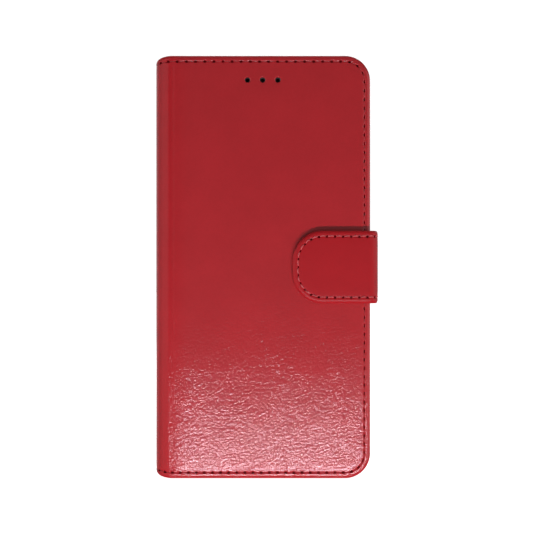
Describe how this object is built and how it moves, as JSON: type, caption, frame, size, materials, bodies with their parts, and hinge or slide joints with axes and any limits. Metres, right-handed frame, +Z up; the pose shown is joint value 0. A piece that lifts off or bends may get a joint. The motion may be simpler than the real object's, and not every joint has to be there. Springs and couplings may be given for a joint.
{
  "type": "phone wallet case",
  "caption": "Book-style wallet case for a phone: two leather covers folding on a spine, card pockets, an inner phone tray and a magnetic strap closure.",
  "frame": {"origin": "middle of the closed case's footprint on the surface that it stands on, at the bottom edge; the strap counts in the footprint", "axes": "+Z up the case's height, +X from the spine to the fore-edge and strap, +Y from the front cover to the back cover"},
  "size_m": [0.087, 0.0194, 0.165],
  "materials": {
    "red_leather": "glossy grained coated leather",
    "red_lining": "matte fine-grained lining",
    "board": "grey pulp board",
    "black_tpu": "satin moulded soft plastic",
    "red_thread": "twisted polyester thread",
    "magnet_metal": "nickel plated",
    "adhesive": "foam tape"
  },
  "bodies": {
    "back_cover": {"back_skin": "red_leather", "back_board": "board", "back_lining": "red_lining", "back_edge_thread": "red_thread", "tray_adhesive_pad": "adhesive", "phone_tray": "black_tpu", "strap_anchor_tab": "red_leather"},
    "spine": {"spine_skin": "red_leather", "spine_board": "board", "spine_lining": "red_lining", "spine_thread": "red_thread"},
    "front_cover": {"front_skin": "red_leather", "front_board": "board", "front_lining": "red_lining", "front_keeper_discs": "magnet_metal", "cash_pocket": "red_lining", "card_pocket_1": "red_lining", "card_pocket_2": "red_lining", "card_pocket_3": "red_lining", "front_edge_thread": "red_thread", "pocket_thread": "red_thread"},
    "strap_side": {"strap_side_skin": "red_leather", "strap_side_lining": "red_lining", "strap_side_thread": "red_thread"},
    "strap_flap": {"strap_flap_skin": "red_leather", "strap_flap_stiffener": "board", "strap_flap_lining": "red_lining", "strap_flap_thread": "red_thread", "flap_magnets": "magnet_metal"}
  },
  "joints": [
    {"name": "spine_back_crease", "type": "hinge", "parent": "back_cover", "child": "spine", "pos_m": [-0.037, 0.00985, 0.0825], "axis": [0, 0, -1], "range_deg": [0, 178]},
    {"name": "spine_front_crease", "type": "hinge", "parent": "spine", "child": "front_cover", "pos_m": [-0.037, -0.00745, 0.0825], "axis": [0, 0, -1], "range_deg": [0, 178]},
    {"name": "strap_base_fold", "type": "hinge", "parent": "back_cover", "child": "strap_side", "pos_m": [0.0414, 0.0076, 0.0825], "axis": [0, 0, 1], "range_deg": [0, 90]},
    {"name": "strap_flap_fold", "type": "hinge", "parent": "strap_side", "child": "strap_flap", "pos_m": [0.0414, -0.0076, 0.0825], "axis": [0, 0, 1], "range_deg": [0, 90]}
  ]
}
